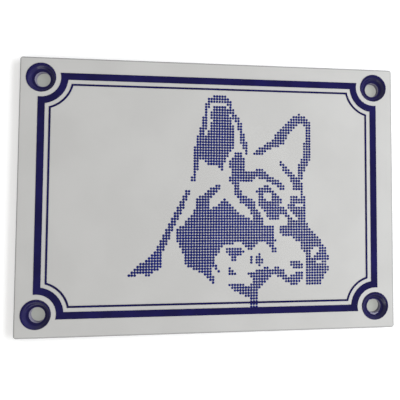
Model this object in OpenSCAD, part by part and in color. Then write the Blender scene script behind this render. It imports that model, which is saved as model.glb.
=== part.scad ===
// Enamelled guard dog sign: a pressed sheet steel plate with four screw dimples, lying on its back.
// The face looks up along Z, the picture's top is towards +Y, and Z is zero under the dimples.

/* [Plate] */
// Width of the plate
plate_w = 140; // [130:1:200]
// Height of the plate
plate_h = 100; // [80:1:120]
// Thickness of the sheet with its enamel on both sides
sheet_t = 1.2; // [0.8:0.1:2]
// Radius of the plate's corners, seen from the front
corner_r = 1; // [1:0.5:4]
// Radius that the enamel leaves along the front edge
front_edge_r = 0.5; // [0.2:0.1:0.5]
// Radius along the back edge
back_edge_r = 0.2; // [0.1:0.1:0.2]

/* [Screw dimples] */
// Distance from the plate's side edges to the hole centres
hole_inset_x = 7.6; // [6.5:0.1:12]
// Distance from the plate's top and bottom edges to the hole centres
hole_inset_y = 7.9; // [6.5:0.1:12]
// Diameter of the screw hole
hole_d = 5.2; // [3:0.1:6]
// Diameter of the flat at the bottom of a dimple
dimple_flat_d = 7; // [6.6:0.1:8]
// Diameter of a dimple where it meets the face
dimple_d = 10; // [9:0.1:11]
// Depth of the flat below the face
dimple_depth = 1.1; // [0.6:0.1:1.5]
// Width of the bevel at the top of the hole
hole_lip = 0.2; // [0.1:0.05:0.25]

/* [Printed border] */
// Thickness of the printed enamel
print_t = 0.08; // [0.05:0.01:0.15]
// How far the print sits to the right of the plate's middle
print_shift_x = -0.1; // [-0.8:0.1:0.8]
// How far the print sits above the plate's middle
print_shift_y = 0.5; // [-0.8:0.1:0.8]
// How far the band's outer edge lies outside the hole centres, at the sides
band_reach_x = 1; // [0:0.1:2]
// How far the band's outer edge lies outside the hole centres, at the top and bottom
band_reach_y = 1.8; // [0:0.1:2.5]
// Width of the thick band
band_w = 2.5; // [1.5:0.1:3.5]
// White gap between the band and the thin line
band_gap = 1.4; // [0.8:0.1:2.5]
// Width of the thin line
line_w = 0.7; // [0.4:0.1:1.2]
// Outer diameter of the blue rings round the holes
ring_d = 10.5; // [10:0.1:11.5]
// White gap between a ring and the band's concave corner
ring_gap = 1.75; // [1:0.05:2.5]

/* [Picture] */
// White gap between the ear's tip and the thin line
ear_gap = 1.8; // [1:0.1:10]
// How far the picture's middle line lies to the right of the print's middle
picture_shift_x = 0; // [-10:0.5:3]

/* [Hidden] */
$fn = 96;
ENAMEL_WHITE = "#cbcbc9";
ENAMEL_BLUE = "#1e1e4d";
SCREEN_BLUE = "#63678a";

// Heights: the sheet's back, its face, the middle of its thickness, and a dimple's flat
back_z = dimple_depth;
face_z = back_z + sheet_t;
middle_z = back_z + sheet_t / 2;
flat_z = face_z - dimple_depth;
// Places of the holes, and of the rings that are printed round them
hole_x = plate_w / 2 - hole_inset_x;
hole_y = plate_h / 2 - hole_inset_y;
CORNERS = [[-1, -1], [1, -1], [1, 1], [-1, 1]];
hole_r = hole_d / 2;
flat_r = dimple_flat_d / 2;
rim_r = dimple_d / 2;
// A dimple's slope, and how much wider the sheet's bend makes it on the back
slope = atan(dimple_depth / (rim_r - flat_r));
back_spread = sheet_t * tan(slope / 2);
SLOPE_STEPS = 20;
// The border's outer edges, and the radius of its concave corners
border_w = 2 * (hole_x + band_reach_x);
border_h = 2 * (hole_y + band_reach_y);
concave_r = ring_d / 2 + ring_gap;
line_inset = band_w + band_gap;
panel_inset = line_inset + line_w;
// Chips in the blue at the lower right hole: direction, reach past the hole's edge, and width of each
CHIPS = [[-83, 0.8, 3.4], [126, 0.5, 2]];
// The picture's foot stands on the band and its ear tip ends below the line. DRAWN has both heights in
// the drawing's own units, from which it is scaled to fit.
DRAWN = [-41.4, 37.3];
foot_y = band_w - border_h / 2;
tip_y = border_h / 2 - panel_inset - ear_gap;
picture_scale = (tip_y - foot_y) / (DRAWN[1] - DRAWN[0]);
CURVE_STEPS = 3;
// More than enough to cut right through
OVER = 1;

module at_holes() {
    for (c = CORNERS) translate([c[0] * hole_x, c[1] * hole_y, 0]) children();
}

// Section of the sheet's edge: its depth inwards is the corner radius
module edge_section() {
    square([corner_r - front_edge_r, sheet_t]);
    square([corner_r - back_edge_r, sheet_t - front_edge_r]);
    translate([0, back_edge_r]) square([corner_r, sheet_t - front_edge_r - back_edge_r]);
    translate([corner_r - front_edge_r, sheet_t - front_edge_r]) circle(front_edge_r);
    translate([corner_r - back_edge_r, back_edge_r]) circle(back_edge_r);
}

module straight_edge(run) {
    rotate([90, 0, 0]) linear_extrude(run, center = true) edge_section();
}

// The flat sheet, with its rounded edges carried round the corners
module sheet() {
    core_w = plate_w - 2 * corner_r;
    core_h = plate_h - 2 * corner_r;
    translate([0, 0, back_z]) {
        translate([-core_w / 2, -core_h / 2, 0]) cube([core_w, core_h, sheet_t]);
        for (s = [0, 180]) {
            rotate([0, 0, s]) translate([core_w / 2, 0, 0]) straight_edge(core_h);
            rotate([0, 0, s + 90]) translate([core_h / 2, 0, 0]) straight_edge(core_w);
        }
        for (i = [0:3])
            translate([CORNERS[i][0] * core_w / 2, CORNERS[i][1] * core_h / 2, 0])
                rotate([0, 0, 180 + 90 * i]) rotate_extrude(angle = 90) edge_section();
    }
}

// Points of a dimple's rounded slope, from its flat at radius foot_r and height low up to its rim
function slope_points(foot_r, low) =
    [for (i = [0:SLOPE_STEPS]) let (t = i / SLOPE_STEPS)
        [foot_r + (rim_r - flat_r) * t, low + dimple_depth * (1 - cos(180 * t)) / 2]];

// What a dimple adds behind the sheet
module dimple_boss() {
    rotate_extrude() polygon(concat(
        [[0, 0]],
        slope_points(flat_r + back_spread, 0),
        [[rim_r + back_spread, middle_z], [0, middle_z]]));
}

// What a dimple takes out of the face, with the hole and its bevel
module dimple_hollow() {
    rotate_extrude() polygon(concat(
        [[0, -OVER], [hole_r, -OVER], [hole_r, flat_z - hole_lip], [hole_r + hole_lip, flat_z]],
        slope_points(flat_r, flat_z),
        [[rim_r, face_z + OVER], [0, face_z + OVER]]));
}

module enamelled_plate() color(ENAMEL_WHITE) difference() {
    union() {
        sheet();
        at_holes() dimple_boss();
    }
    at_holes() dimple_hollow();
}

// The border's shape, drawn in from its outer edge: the concave corners grow as it gets smaller
module panel(inset) {
    difference() {
        square([border_w - 2 * inset, border_h - 2 * inset], center = true);
        for (c = CORNERS) translate([c[0] * hole_x, c[1] * hole_y]) circle(concave_r + inset);
    }
}

// One field of print on the face
module printed() {
    translate([print_shift_x, print_shift_y, face_z]) linear_extrude(print_t) children();
}

module border_band() color(ENAMEL_BLUE) printed() difference() {
    panel(0);
    panel(band_w);
}

module line_shape() {
    difference() {
        panel(line_inset);
        panel(panel_inset);
    }
}

module border_line() color(ENAMEL_BLUE) printed() line_shape();

function reversed(p) = [for (i = [len(p) - 1:-1:0]) p[i]];

// A skin that follows a dimple from the hole's bevel to the face round it
module dimple_skin(outer_r) {
    under = concat([[hole_r + hole_lip, flat_z]], slope_points(flat_r, flat_z), [[outer_r, face_z]]);
    rotate_extrude() polygon(concat(under, reversed([for (p = under) p + [0, print_t]])));
}

// Where the blue has chipped off round a hole
module chips() {
    for (c = CHIPS) rotate([0, 0, c[0]]) linear_extrude(face_z + OVER)
        polygon([[0, 0], [hole_r, -c[2] / 2], [hole_r + c[1], 0], [hole_r, c[2] / 2]]);
}

// The rings are printed, so they keep to the print's place and the skin to the dimple's
module hole_rings() color(ENAMEL_BLUE) difference() {
    at_holes() intersection() {
        dimple_skin(ring_d / 2 + norm([print_shift_x, print_shift_y]) + OVER);
        translate([print_shift_x, print_shift_y, 0]) cylinder(h = face_z + OVER, d = ring_d);
    }
    translate([hole_x, -hole_y, 0]) chips();
}

// A point on the stretch from b to c of a smooth curve through a, b, c and d
function on_curve(a, b, c, d, t) =
    (2 * b + (c - a) * t + (2 * a - 5 * b + 4 * c - d) * t * t + (3 * b - 3 * c + d - a) * t * t * t) / 2;

function closed_curve(p) = let (n = len(p))
    [for (i = [0:n - 1], k = [0:CURVE_STEPS - 1])
        on_curve(p[(i + n - 1) % n], p[i], p[(i + 1) % n], p[(i + 2) % n], k / CURVE_STEPS)];

function open_curve(p) = let (n = len(p)) concat(
    [for (i = [0:n - 2], k = [0:CURVE_STEPS - 1])
        on_curve(p[max(i - 1, 0)], p[i], p[i + 1], p[min(i + 2, n - 1)], k / CURVE_STEPS)],
    [p[n - 1]]);

// One side of a stroke whose points hold X, Y and width
function stroke_side(c, side) =
    [for (i = [0:len(c) - 1])
        let (a = c[max(i - 1, 0)], b = c[min(i + 1, len(c) - 1)], run = [b[0] - a[0], b[1] - a[1]])
            [c[i][0], c[i][1]] + side * c[i][2] / 2 / norm(run) * [-run[1], run[0]]];

module stroke(points) {
    c = open_curve(points);
    polygon(concat(stroke_side(c, 1), reversed(stroke_side(c, -1))));
}

module patch(points) polygon(closed_curve(points));

// The ear on the left: an outline that runs over the tip, and the dark hollow inside it
module left_ear() {
    stroke([[-7.8, 4.6, 1.2], [-7, 8.2, 1.4], [-6.5, 12, 1.8], [-5.9, 16, 3], [-5.3, 20, 2.2],
        [-4.1, 24, 2.2], [-3.4, 28, 1.7], [-2.8, 32, 1.1], [-1.9, 34.8, 1.7], [0.2, 35.9, 2.4],
        [2.8, 36, 2.3], [5.2, 35.1, 2], [6.3, 33, 1.4], [6.6, 30.8, 1.5], [8, 29, 1.5],
        [9.2, 26.8, 1.7], [10.2, 23.5, 1.7], [11, 20.5, 2], [11.8, 17.8, 1.8], [12.6, 15.2, 1.2]]);
    patch([[-0.9, 26], [-0.9, 30.5], [0.3, 33.2], [4.4, 33.3], [5.1, 30.8], [6.6, 27.8], [7.6, 24.5],
        [7.8, 20], [6.4, 16], [4.4, 13.6], [3.6, 10], [2.8, 8.9], [1.2, 10.8], [-1.8, 10.6],
        [-3.4, 13], [-6.4, 14.4], [-6.4, 17.6], [-3.4, 21]]);
    stroke([[4.4, 31.6, 1.6], [6.6, 31.6, 1.8]]);
}

// The ear on the right: one long stroke up its near edge, over the tip and down the far edge
module right_ear() {
    stroke([[15.4, 15, 1.4], [17.6, 16.4, 2.4], [20, 18, 2.3], [22.5, 19.3, 3], [24.8, 21, 4.6],
        [26.6, 23.6, 3.6], [28.6, 25.8, 3], [30.6, 28, 3.4], [32.7, 29.2, 3.2], [34.8, 28, 2.6],
        [35.8, 26, 2.4], [36, 22.5, 2.5], [35.9, 18.5, 2.7], [35.7, 15.5, 2.6], [35, 13.2, 2.6],
        [33.8, 11.2, 3.4], [33.2, 9.3, 3.2], [33.3, 7.4, 1.3], [32.9, 5.6, 1.6]]);
    stroke([[25.3, 12.6, 1.2], [26.4, 10.6, 1.8], [28.3, 8.5, 1.8], [29.9, 6.7, 2.2],
        [31.2, 5, 3.2], [32, 3.4, 3.4], [32.2, 1.7, 3.2]]);
}

// Forehead, brow, and the temple that runs down into the cheek
module forehead() {
    patch([[9.3, 16.5], [10.8, 14.8], [11.8, 12.4], [11.5, 10], [12, 7], [10, 5.8], [8.8, 5.2],
        [7.4, 5], [5.4, 5.4], [6.9, 7.6], [6, 10], [6.1, 12.2], [7.3, 14.4]]);
    stroke([[10.5, 7.5, 4], [12.8, 6.6, 4], [15, 7.6, 2.8], [17.2, 8.1, 3.2], [19.5, 7, 2.9],
        [21.8, 5.4, 2], [23.8, 4.6, 2.2], [25.6, 2.8, 2.2], [26.6, 1.9, 1]]);
    stroke([[8, 5.4, 1.8], [8.6, 2.4, 2], [9.6, 0, 2.4], [11.5, -2, 3], [13.8, -3.4, 3.2],
        [15.3, -6, 2.6], [16.5, -8.5, 3.6], [17, -11, 4]]);
}

module eyes() {
    difference() {
        patch([[16.2, 1.9], [17.8, 2.8], [20, 3.8], [21.8, 2.6], [23.2, 0.9], [24.9, -0.5],
            [25.9, -2], [25.2, -3], [23.6, -3.2], [25.2, -4.6], [25.2, -7.4], [24.2, -9], [22.3, -9.2],
            [20.5, -8.4], [19.7, -6.4], [18, -4.8], [17.1, -3], [17.2, -0.3], [16.2, 0.5]]);
        patch([[18.8, 1], [21, 1], [22, -0.4], [21.6, -2], [20.6, -2.4], [19.2, -1.3]]);
    }
    patch([[29.6, -0.3], [31.4, -0.3], [32.6, -1.1], [34.4, -1], [34.4, -2.7], [31.3, -2.9],
        [31.4, -4.4], [33.5, -5], [34, -8.5], [32.2, -9.2], [31, -8], [29.6, -6.8], [29.2, -5.1],
        [28.2, -4.8], [28.3, -3.6], [29.3, -3]]);
}

// The line from the eye to the nose, the far profile, and the muzzle with its nostril
module muzzle() {
    stroke([[23.5, -4.6, 1.6], [25.5, -5.3, 2], [27.2, -7, 1.9], [28.8, -8.8, 2], [30.5, -10.6, 2.6]]);
    stroke([[33.2, 4.5, 1.2], [33.7, 2, 1.2], [33.8, 0, 1.2], [34.2, -2, 1.5], [34.4, -4.5, 1.4],
        [34.3, -7, 2], [33.9, -9.5, 2.6], [33.4, -11.5, 3.2]]);
    difference() {
        patch([[28.6, -9.8], [30.2, -9.4], [32.6, -10], [35, -10], [36, -12], [38, -14], [40, -16.2],
            [41.4, -18], [42.8, -20.4], [43.6, -22.4], [44.2, -23.8], [43.5, -25.3], [43.7, -27],
            [43.4, -28.8], [42.4, -30.2], [41.4, -32.2], [40, -33.6], [37.6, -33.7], [35.4, -33.6],
            [35.1, -30], [35.1, -24.2], [34.9, -21.6], [33.6, -20.6], [33, -18], [30.4, -16.4],
            [28.8, -15.3], [27.2, -15.4], [25.6, -14.6], [24.8, -12.9], [26, -11.3], [27.8, -10.9]]);
        patch([[37.2, -20], [40.2, -19.9], [40.3, -21.1], [38.9, -21.7], [38.3, -23.2], [37.3, -23.1],
            [36.8, -21.8]]);
        stroke([[38.9, -25.2, 0.9], [41.5, -25.4, 0.9], [45, -25.8, 0.9]]);
    }
    patch([[29, -24], [30, -24.8], [32.2, -24.8], [34.2, -26.2], [33, -27.3], [31.4, -27.8],
        [29.8, -26.9], [29.1, -25.4]]);
}

// The dark coat from the cheek to the throat, and the marks on the jaw
module coat() {
    patch([[-9.4, -8.8], [-7.6, -7], [-6.6, -4], [-6.3, -1.2], [-4.2, -0.4], [-2.2, 1.4], [0.2, 3.3],
        [2.3, 3.7], [2.3, 2.3], [0.6, 0.2], [-0.9, -1.2], [-1.6, -3.6], [-1.2, -5.4], [0.5, -4.4],
        [2.4, -2.8], [4.3, -1.3], [5.8, -2.6], [7.8, -5.2], [10, -7.4], [12.6, -8], [14.2, -9.6],
        [15.6, -10.4], [18, -10], [19, -11.4], [22.6, -11.6], [22.9, -15.4], [23.4, -17],
        [22.9, -18.5], [23.8, -20.4], [22.4, -21.4], [21.4, -19.4], [19, -17.6], [17, -17.4],
        [15.6, -19], [14, -20.4], [12, -19.4], [10, -17.6], [8, -17.4], [6.8, -18.4], [5.2, -18],
        [3.6, -18.8], [2.2, -20.8], [0.9, -22.4], [-0.4, -24.4], [-0.9, -27.6], [0.2, -30.2],
        [0.9, -31.4], [0.1, -32.7], [-1.3, -31.6], [-3.6, -29.3], [-5, -28], [-6.4, -27.9],
        [-7.6, -26.8], [-9.3, -26.6], [-10.4, -24], [-11.4, -20.6], [-12.6, -17.8], [-13.9, -15.4],
        [-13.4, -12.4], [-11.3, -11.2], [-10, -9.6]]);
    stroke([[-0.2, -23.5, 1.4], [0.3, -25.6, 1.6], [1.3, -27.2, 1.2], [2.6, -28.4, 0.9]]);
    patch([[5.2, -19.8], [9.9, -19.7], [11.5, -20.6], [10.2, -22], [8.6, -23], [8.4, -24.4],
        [7, -24.4], [6.8, -22.8], [5.6, -21.8]]);
    stroke([[14.2, -22.6, 0.9], [14.3, -24, 1.3], [14.2, -25.6, 0.9]]);
    patch([[16.3, -21.9], [17.7, -21.8], [18, -23.2], [18.8, -23.8], [18, -25.4], [17, -26.1],
        [15.9, -25], [16.2, -23.4]]);
    patch([[5.6, -26.4], [7.3, -27.2], [7.6, -28.6], [8.6, -29], [8.2, -29.7], [6, -29.6], [5.8, -28]]);
}

// The nape's line down to the shoulder, and the jaw with the foot that stands on the band
module outline() {
    stroke([[-9.2, 2, 1.4], [-10.9, -2, 1.8], [-12.3, -5, 2.2], [-13.9, -8.2, 2.3],
        [-15.4, -11.2, 2.4], [-16.8, -14.4, 2.5], [-18.2, -17.4, 2.5], [-19.6, -20.4, 2.6],
        [-20.6, -23.3, 3.4]]);
    patch([[-21.4, -20.8], [-23.6, -23], [-26.4, -25], [-28.6, -26.6], [-31, -29.3], [-29.6, -29.6],
        [-26.4, -28.8], [-23.2, -29], [-21.4, -27.8], [-19.2, -26.6], [-18.3, -24], [-18.8, -21.6]]);
    patch([[13, -28.4], [16, -28.2], [18.6, -27], [20.4, -26.7], [21.8, -27.8], [23, -26.8],
        [25, -27], [26.8, -28.4], [27.2, -29.8], [28.8, -30.3], [30.3, -29.4], [31.6, -28.5],
        [33.9, -28.6], [33.9, -30.4], [32.6, -32.2], [31.2, -33.6], [29.4, -33.6], [27.6, -32.2],
        [25.6, -30.8], [23.4, -29.6], [22.2, -29.2], [21.2, -30.6], [19.4, -32.4], [17.7, -34],
        [17, -36], [17.1, -38.5], [17.1, DRAWN[0] - OVER], [13.8, DRAWN[0] - OVER],
        [13.8, -38.4], [12.6, -37.4], [10.4, -36.6], [7.8, -35], [5.8, -33.4], [7.6, -32.7],
        [10.6, -33], [12.6, -33.5], [14.4, -33], [14.9, -31.4], [14, -30.2]]);
}

module dog_figure() color(SCREEN_BLUE) printed() difference() {
    intersection() {
        translate([picture_shift_x, foot_y]) scale(picture_scale) translate([0, -DRAWN[0]]) {
            left_ear();
            right_ear();
            forehead();
            eyes();
            muzzle();
            coat();
            outline();
        }
        panel(band_w);
    }
    line_shape();
}

enamelled_plate();
border_band();
border_line();
hole_rings();
dog_figure();
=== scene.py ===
"""Looks of the enamelled guard dog sign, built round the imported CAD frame.

The plate, the border and the rings are the CAD's own nodes with enamel materials. The dog's closed
fields are replaced by a screen of dots. Blender's lengths are metres. Sizes named here are millimetres,
apart from the floor's and the lamps', and colours are linear red, green and blue.
"""

import math

import bmesh
import bpy
from mathutils import Matrix, Vector
from mathutils.bvhtree import BVHTree


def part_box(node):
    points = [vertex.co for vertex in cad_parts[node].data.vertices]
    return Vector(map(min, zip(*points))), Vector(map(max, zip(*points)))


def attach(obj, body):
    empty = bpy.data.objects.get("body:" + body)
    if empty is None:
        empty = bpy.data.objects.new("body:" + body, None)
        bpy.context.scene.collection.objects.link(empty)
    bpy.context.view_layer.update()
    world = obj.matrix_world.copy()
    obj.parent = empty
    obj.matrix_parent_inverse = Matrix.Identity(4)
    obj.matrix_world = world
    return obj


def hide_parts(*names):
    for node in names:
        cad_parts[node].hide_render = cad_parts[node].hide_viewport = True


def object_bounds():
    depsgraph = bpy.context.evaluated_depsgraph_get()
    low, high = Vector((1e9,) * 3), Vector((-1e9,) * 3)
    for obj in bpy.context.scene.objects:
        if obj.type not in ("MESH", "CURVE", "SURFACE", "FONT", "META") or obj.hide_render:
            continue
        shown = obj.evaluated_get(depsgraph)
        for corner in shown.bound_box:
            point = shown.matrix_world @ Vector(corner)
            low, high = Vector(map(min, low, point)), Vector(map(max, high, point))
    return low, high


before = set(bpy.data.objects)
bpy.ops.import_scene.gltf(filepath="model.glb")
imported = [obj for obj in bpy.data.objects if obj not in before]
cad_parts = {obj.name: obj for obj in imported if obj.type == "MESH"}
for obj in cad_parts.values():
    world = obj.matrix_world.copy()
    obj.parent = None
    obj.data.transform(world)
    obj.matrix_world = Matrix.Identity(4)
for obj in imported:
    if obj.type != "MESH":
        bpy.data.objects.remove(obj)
cad_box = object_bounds()

MM = 0.001
scene = bpy.context.scene
scene.view_settings.view_transform = "Standard"


# Camera

SENSOR_W = 36
CLIP_START = 10
IMAGE_PX = 400
FOCAL_PX = 300
CENTRE_PX = (212.0, 174.8)
# From the print's middle on the face to the camera: a turn about its own direction, by its length in
# degrees, and a shift
TURN = Vector((-1.757, 4.562, -0.46))
SHIFT = Vector((0.58, -7.56, -111.35))
PRINT_MIDDLE = Vector((-0.1, 0.5, 2.3))


def add_camera():
    turn = Matrix.Rotation(math.radians(TURN.length), 3, TURN.normalized()).transposed()
    place = (PRINT_MIDDLE - turn @ SHIFT) * MM
    data = bpy.data.cameras.new("camera")
    data.sensor_width = SENSOR_W
    data.lens = FOCAL_PX * SENSOR_W / IMAGE_PX
    data.shift_x = (IMAGE_PX / 2 - CENTRE_PX[0]) / IMAGE_PX
    data.shift_y = (CENTRE_PX[1] - IMAGE_PX / 2) / IMAGE_PX
    data.clip_start = CLIP_START * MM
    camera = bpy.data.objects.new("camera", data)
    camera.matrix_world = Matrix.Translation(place) @ turn.to_4x4()
    scene.collection.objects.link(camera)
    scene.camera = camera


add_camera()


# Node helpers

# Numbers of the Mix node's sockets for colours
MIX_A, MIX_B, MIX_RESULT = 6, 7, 2


def connect(tree, value, socket):
    """Links a socket to value if value is a socket, and otherwise sets it."""
    if isinstance(value, bpy.types.NodeSocket):
        tree.links.new(value, socket)
    elif isinstance(value, tuple):
        socket.default_value = (*value, 1.0)
    else:
        socket.default_value = value


def calc(tree, operation, a, b=0.0):
    node = tree.nodes.new("ShaderNodeMath")
    node.operation = operation
    connect(tree, a, node.inputs[0])
    connect(tree, b, node.inputs[1])
    return node.outputs[0]


def ramp(tree, value, start, end, low=0.0, high=1.0):
    """Goes smoothly from low to high while value goes from start to end."""
    node = tree.nodes.new("ShaderNodeMapRange")
    node.interpolation_type = "SMOOTHSTEP"
    connect(tree, value, node.inputs["Value"])
    for name, number in (("From Min", start), ("From Max", end), ("To Min", low), ("To Max", high)):
        node.inputs[name].default_value = number
    return node.outputs["Result"]


def noise(tree, place, scale, detail):
    node = tree.nodes.new("ShaderNodeTexNoise")
    tree.links.new(place, node.inputs["Vector"])
    node.inputs["Scale"].default_value = scale
    node.inputs["Detail"].default_value = detail
    return node.outputs["Fac"]


def mix(tree, factor, a, b):
    node = tree.nodes.new("ShaderNodeMix")
    node.data_type = "RGBA"
    connect(tree, factor, node.inputs[0])
    connect(tree, a, node.inputs[MIX_A])
    connect(tree, b, node.inputs[MIX_B])
    return node.outputs[MIX_RESULT]


def split(tree, vector):
    """The sockets of a vector's X, Y and Z."""
    node = tree.nodes.new("ShaderNodeSeparateXYZ")
    tree.links.new(vector, node.inputs[0])
    return node.outputs


def past(tree, socket, limit):
    """How far a value lies past limit, to either side of zero."""
    return calc(tree, "SUBTRACT", calc(tree, "ABSOLUTE", socket), limit)


def past_edge(tree, place, corner):
    """How far a point lies outside the plate's outline, below zero inside it."""
    at = split(tree, place)
    return calc(tree, "MAXIMUM", past(tree, at["X"], corner.x), past(tree, at["Y"], corner.y))


def from_hole(tree, place):
    """How far a point lies from the axis of the nearest screw hole."""
    at = split(tree, place)
    squares = []
    for axis, middle in zip("XY", HOLE_AT):
        side = past(tree, at[axis], middle * MM)
        squares.append(calc(tree, "MULTIPLY", side, side))
    return calc(tree, "SQRT", calc(tree, "ADD", *squares))


def new_material(name):
    """A new material, its node tree and shader, and the texture coordinates' sockets."""
    made = bpy.data.materials.new(name)
    made.use_nodes = True
    tree = made.node_tree
    return made, tree, tree.nodes["Principled BSDF"], tree.nodes.new("ShaderNodeTexCoord").outputs


def gloss(tree, shader, place, roughness, peel, matte=None):
    """Roughness in fine clouds between two values, never below matte, and the ripple of fired enamel."""
    rough = ramp(tree, noise(tree, place, CLOUD_SCALE, 3), *MIDDLE_TONES, *roughness)
    if matte:
        rough = calc(tree, "MAXIMUM", rough, matte)
    tree.links.new(rough, shader.inputs["Roughness"])
    bump = tree.nodes.new("ShaderNodeBump")
    bump.inputs["Strength"].default_value = peel
    bump.inputs["Distance"].default_value = RIPPLE_H * MM
    tree.links.new(noise(tree, place, RIPPLE_SCALE, 1), bump.inputs["Height"])
    tree.links.new(bump.outputs["Normal"], shader.inputs["Normal"])


# Materials

# Noise scales are features per metre. The TONES are the noise values between which a ramp runs.
CLOUD_SCALE = 900
RIPPLE_SCALE = 420
WHITE_SCALE = 45
SPECK_SCALE = 1300
BLUE_SCALE = 120
MIDDLE_TONES = (0.35, 0.65)
SPECK_TONES = (0.56, 0.7)
BLUE_TONES = (0.3, 0.7)
RIPPLE_H = 0.02

WHITE_LIGHT = (0.598, 0.593, 0.581)
WHITE_DARK = (0.571, 0.566, 0.554)
GROUND_COAT = (0.035, 0.037, 0.046)
GROUND_SPECK = (0.085, 0.088, 0.100)
# Painted shade for the holes' walls, dark and blue-violet
HOLE_WALL_SHADE = (0.20, 0.19, 0.26)
CHIPPED = (0.33, 0.32, 0.43)
WHITE_ROUGH = (0.10, 0.18)
WHITE_PEEL = 0.35
WALL_ROUGH = 0.6
# Where the plate's outline is darkened towards the ground coat's colour, and how strongly at most: partly
# the ground showing through thin enamel, partly painted shade on the rounded rim
THIN_SHADED_EDGE = (-0.8, -0.1)
THIN_SHADED_SHARE = 0.7
# The normal's Z from which the back's coat begins, and from which it is all there
BACK_Z = (0.0, -0.3)
# Places of the screw holes, the radius of their bevel's top, inside which the holes' walls get painted
# shade, and of the ground that the chips bare
HOLE_AT = (62.4, 42.1)
BEVEL_R = 2.8
BEVEL_BLUR = 0.03
CHIPPED_R = 4.2
CHIPPED_BLUR = 0.1

# Dark and light tone of each blue, and its least and most roughness
COBALT = ((0.0066, 0.0050, 0.056), (0.0096, 0.0076, 0.082), (0.16, 0.26))
RING_BLUE = ((0.0085, 0.0060, 0.055), (0.0115, 0.0090, 0.081), (0.16, 0.24))
SCREEN_INK = ((0.006, 0.012, 0.130), (0.009, 0.017, 0.168), (0.14, 0.24))
BLUE_SPECULAR = 0.3
BLUE_PEEL = 0.3


def white_enamel(box):
    """White on the face, darker at the outline from thin enamel and painted shade, with painted shade in
    the holes' walls and the dark ground coat on the back.
    """
    made, tree, shader, coords = new_material("white enamel")
    place = coords["Object"]
    shade = ramp(tree, noise(tree, place, WHITE_SCALE, 3), *MIDDLE_TONES)
    specks = ramp(tree, noise(tree, place, SPECK_SCALE, 2), *SPECK_TONES)
    ground = mix(tree, specks, GROUND_COAT, GROUND_SPECK)
    thin_shaded_limits = [limit * MM for limit in THIN_SHADED_EDGE]
    # Darker towards the outline: partly the ground coat through thin enamel, partly painted shade on the
    # rounded rim
    thin_shaded_rim = ramp(tree, past_edge(tree, place, box[1]), *thin_shaded_limits, 0.0, THIN_SHADED_SHARE)
    reach = from_hole(tree, place)
    # Painted shade on the holes' walls, inside the bevel's top
    shaded_hole_wall = ramp(tree, reach, (BEVEL_R + BEVEL_BLUR) * MM, (BEVEL_R - BEVEL_BLUR) * MM)
    chipped = ramp(tree, reach, CHIPPED_R * MM, (CHIPPED_R - CHIPPED_BLUR) * MM)
    back = ramp(tree, split(tree, coords["Normal"])["Z"], *BACK_Z)
    colour = mix(tree, shade, WHITE_DARK, WHITE_LIGHT)
    for share, over in ((chipped, CHIPPED), (shaded_hole_wall, HOLE_WALL_SHADE), (thin_shaded_rim, ground), (back, ground)):
        colour = mix(tree, share, colour, over)
    tree.links.new(colour, shader.inputs["Base Color"])
    gloss(tree, shader, place, WHITE_ROUGH, WHITE_PEEL, calc(tree, "MULTIPLY", shaded_hole_wall, WALL_ROUGH))
    return made


def blue_enamel(name, dark, light, roughness):
    made, tree, shader, coords = new_material(name)
    place = coords["Object"]
    shade = ramp(tree, noise(tree, place, BLUE_SCALE, 4), *BLUE_TONES)
    tree.links.new(mix(tree, shade, dark, light), shader.inputs["Base Color"])
    shader.inputs["Specular IOR Level"].default_value = BLUE_SPECULAR
    gloss(tree, shader, place, roughness, BLUE_PEEL)
    return made


def dress(name, made):
    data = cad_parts[name].data
    data.materials.clear()
    data.materials.append(made)


dress("enamelled_plate", white_enamel(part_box("enamelled_plate")))
cobalt = blue_enamel("cobalt enamel", *COBALT)
for name in ("border_band", "border_line"):
    dress(name, cobalt)
dress("hole_rings", blue_enamel("ring enamel", *RING_BLUE))


# Dot screen

# Distance between dots, and the middle of one of them
PITCH = 1.016
FIRST_DOT = (-0.03, 0.91)
# Sides of a dot, and its reach above and below the face
SIDES = 16
HEIGHT = 0.03
SUNK = 0.01
# Each cell is probed in SAMPLES rows of as many points, and has a dot above this share of hits
SAMPLES = 4
LEAST_SHARE = 0.4
PROBE_ABOVE = 1
# Radius of a full dot over PITCH: in the middle, what each millimetre to the right takes off, and the limit
FULL_R = 0.485
FULL_R_LOSS = 0.0006
MOST_R = 0.495
# Part of the radius that every dot has, and the part that grows with its cell's share
FIXED_R = 0.82
SHARE_R = 0.18


def cells(low, high, first):
    """Numbers of the screen's cells along one axis, counted from the cell of the first dot."""
    return range(math.floor((low - first) / PITCH), math.ceil((high - first) / PITCH) + 1)


def dots():
    """Place and radius of the dot in each cell that the dog's fields cover enough."""
    low, high = (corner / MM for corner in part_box("dog_figure"))
    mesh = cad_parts["dog_figure"].data
    fields = BVHTree.FromPolygons([v.co / MM for v in mesh.vertices],
                                  [tuple(p.vertices) for p in mesh.polygons])
    down = Vector((0, 0, -1))
    above = high.z + PROBE_ABOVE
    steps = [((i + 0.5) / SAMPLES - 0.5) * PITCH for i in range(SAMPLES)]
    for row in cells(low.y, high.y, FIRST_DOT[1]):
        for column in cells(low.x, high.x, FIRST_DOT[0]):
            x, y = FIRST_DOT[0] + column * PITCH, FIRST_DOT[1] + row * PITCH
            hits = sum(fields.ray_cast(Vector((x + dx, y + dy, above)), down)[0] is not None
                       for dx in steps for dy in steps)
            share = hits / SAMPLES ** 2
            if share > LEAST_SHARE:
                full = min(MOST_R, FULL_R - FULL_R_LOSS * x) * PITCH
                yield x, y, low.z, full * (FIXED_R + SHARE_R * share)


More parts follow.
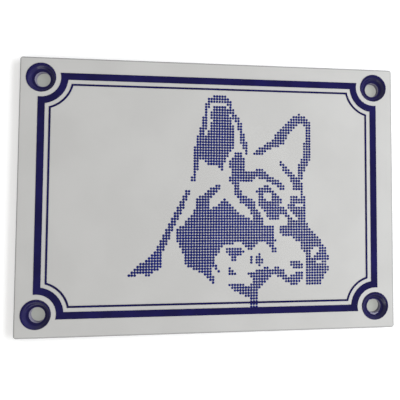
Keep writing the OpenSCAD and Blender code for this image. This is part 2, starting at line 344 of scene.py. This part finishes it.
def halftone():
    """The dots as one piece, in place of the dog's closed fields."""
    mesh = bmesh.new()
    turns = [2 * math.pi * i / SIDES for i in range(SIDES)]
    for x, y, z, radius in dots():
        rings = []
        for height in (-SUNK, HEIGHT):
            corners = [Vector((x + radius * math.cos(turn), y + radius * math.sin(turn), z + height))
                       for turn in turns]
            rings.append([mesh.verts.new(corner * MM) for corner in corners])
        mesh.faces.new(rings[0][::-1])
        mesh.faces.new(rings[1])
        for i in range(SIDES):
            j = (i + 1) % SIDES
            mesh.faces.new((rings[0][i], rings[0][j], rings[1][j], rings[1][i]))
    data = bpy.data.meshes.new("halftone_dots")
    mesh.to_mesh(data)
    mesh.free()
    data.materials.append(blue_enamel("screen ink", *SCREEN_INK))
    piece = bpy.data.objects.new("halftone_dots", data)
    scene.collection.objects.link(piece)
    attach(piece, "root")
    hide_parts("dog_figure")


halftone()


# Floor and light, in metres

FLOOR_R = 3
FLOOR_SIDES = 96
FLOOR_Z = -0.00002
FLOOR_ROUGH = 0.9
FLOOR_SCALE = 6
FLOOR_TONES = ((0.86, 0.86, 0.86), (0.88, 0.88, 0.88))
# Beneath the sign, a painted shadow: how far inside its outline that starts and is all there, the floor's
# darker colour there and its glow's
UNDER_EDGE = (-0.001, -0.004)
UNDER_SHADOW_TONE = (0.15, 0.157, 0.143)
UNDER_GLOW = (1, 1.02, 0.96)
# Strength of the glow at the sign, what is added while the distance from it grows, and the distances
GLOW = 0.35
FAR_GLOW = 0.25
FAR = (0.2, 1.2)
# What is taken off the glow beneath the sign, from the sign's left to its right: painted shade, darker at
# the left than at the right
UNDER_X = (-0.05, 0.05)
UNDER_SHADE_LOSS = (0.092, 0.012)
# The room's light: over CEILING_Z, values of a direction's Z, the walls pass into the ceiling, and over
# HORIZON_Z the horizon's own share fades out
ROOM_COLOUR = (1.0, 0.985, 0.965)
CEILING_Z = (0.55, 0.84)
WALLS_TO_CEILING = (0.74, 0.26)
HORIZON_Z = (0.02, 0.35)
HORIZON_GLOW = 0.26


def add_floor():
    """A pale floor that keeps the sign's shadow, with a painted shadow beneath the sign that is lighter
    towards the right. The camera and reflections see it nearly white.
    """
    made, tree, shader, coords = new_material("floor")
    place = coords["Object"]
    shader.inputs["Roughness"].default_value = FLOOR_ROUGH
    shader.inputs["Specular IOR Level"].default_value = 0.0
    far = past_edge(tree, place, cad_box[1])
    above = calc(tree, "SUBTRACT", 1.0, tree.nodes.new("ShaderNodeNewGeometry").outputs["Backfacing"])
    # The sign's footprint, where the floor gets a painted shadow
    shadow_beneath = calc(tree, "MULTIPLY", ramp(tree, far, *UNDER_EDGE), above)
    pale = mix(tree, noise(tree, place, FLOOR_SCALE, 2), *FLOOR_TONES)
    tree.links.new(mix(tree, shadow_beneath, pale, UNDER_SHADOW_TONE), shader.inputs["Base Color"])
    tree.links.new(mix(tree, shadow_beneath, (1, 1, 1), UNDER_GLOW), shader.inputs["Emission Color"])
    glow = calc(tree, "ADD", GLOW, ramp(tree, far, *FAR, 0.0, FAR_GLOW))
    # Painted shade beneath the sign, taken off more at the left than at the right
    shade_taken_off = ramp(tree, split(tree, place)["X"], *UNDER_X, *UNDER_SHADE_LOSS)
    glow = calc(tree, "SUBTRACT", glow, calc(tree, "MULTIPLY", shadow_beneath, shade_taken_off))
    rays = tree.nodes.new("ShaderNodeLightPath").outputs
    seen = calc(tree, "MAXIMUM", rays["Is Camera Ray"], rays["Is Glossy Ray"])
    seen = calc(tree, "MAXIMUM", seen, rays["Is Transmission Ray"])
    tree.links.new(calc(tree, "MULTIPLY", seen, glow), shader.inputs["Emission Strength"])
    mesh = bmesh.new()
    bmesh.ops.create_circle(mesh, cap_ends=True, segments=FLOOR_SIDES, radius=FLOOR_R)
    data = bpy.data.meshes.new("floor")
    mesh.to_mesh(data)
    mesh.free()
    data.materials.append(made)
    floor = bpy.data.objects.new("floor", data)
    floor.location.z = FLOOR_Z
    scene.collection.objects.link(floor)


def add_world():
    """A pale room with a darker ceiling, which is what the glossy face mirrors."""
    world = bpy.data.worlds.new("room")
    world.use_nodes = True
    scene.world = world
    tree = world.node_tree
    height = split(tree, tree.nodes.new("ShaderNodeTexCoord").outputs["Generated"])["Z"]
    walls = ramp(tree, height, *CEILING_Z, *WALLS_TO_CEILING)
    horizon = ramp(tree, height, *HORIZON_Z, HORIZON_GLOW, 0.0)
    background = tree.nodes["Background"].inputs
    tree.links.new(calc(tree, "ADD", walls, horizon), background["Strength"])
    connect(tree, ROOM_COLOUR, background["Color"])


def add_light(name, place, width, height, power, colour, mirrored):
    """A soft lamp that points at the sign. The enamel mirrors it only where mirrored is set."""
    data = bpy.data.lights.new(name, "AREA")
    data.shape = "RECTANGLE"
    data.size = width
    data.size_y = height
    data.energy = power
    data.color = colour
    light = bpy.data.objects.new(name, data)
    light.location = place
    light.rotation_euler = (-Vector(place)).to_track_quat("-Z", "Y").to_euler()
    light.visible_glossy = mirrored
    scene.collection.objects.link(light)


add_floor()
add_world()
add_light("key", (0.46, 0.08, 0.25), 0.6, 0.16, 3.3, (0.97, 1.0, 1.03), False)
add_light("window", (-0.19, -0.47, 0.20), 0.44, 0.12, 0.5, (1.0, 1.0, 1.0), True)
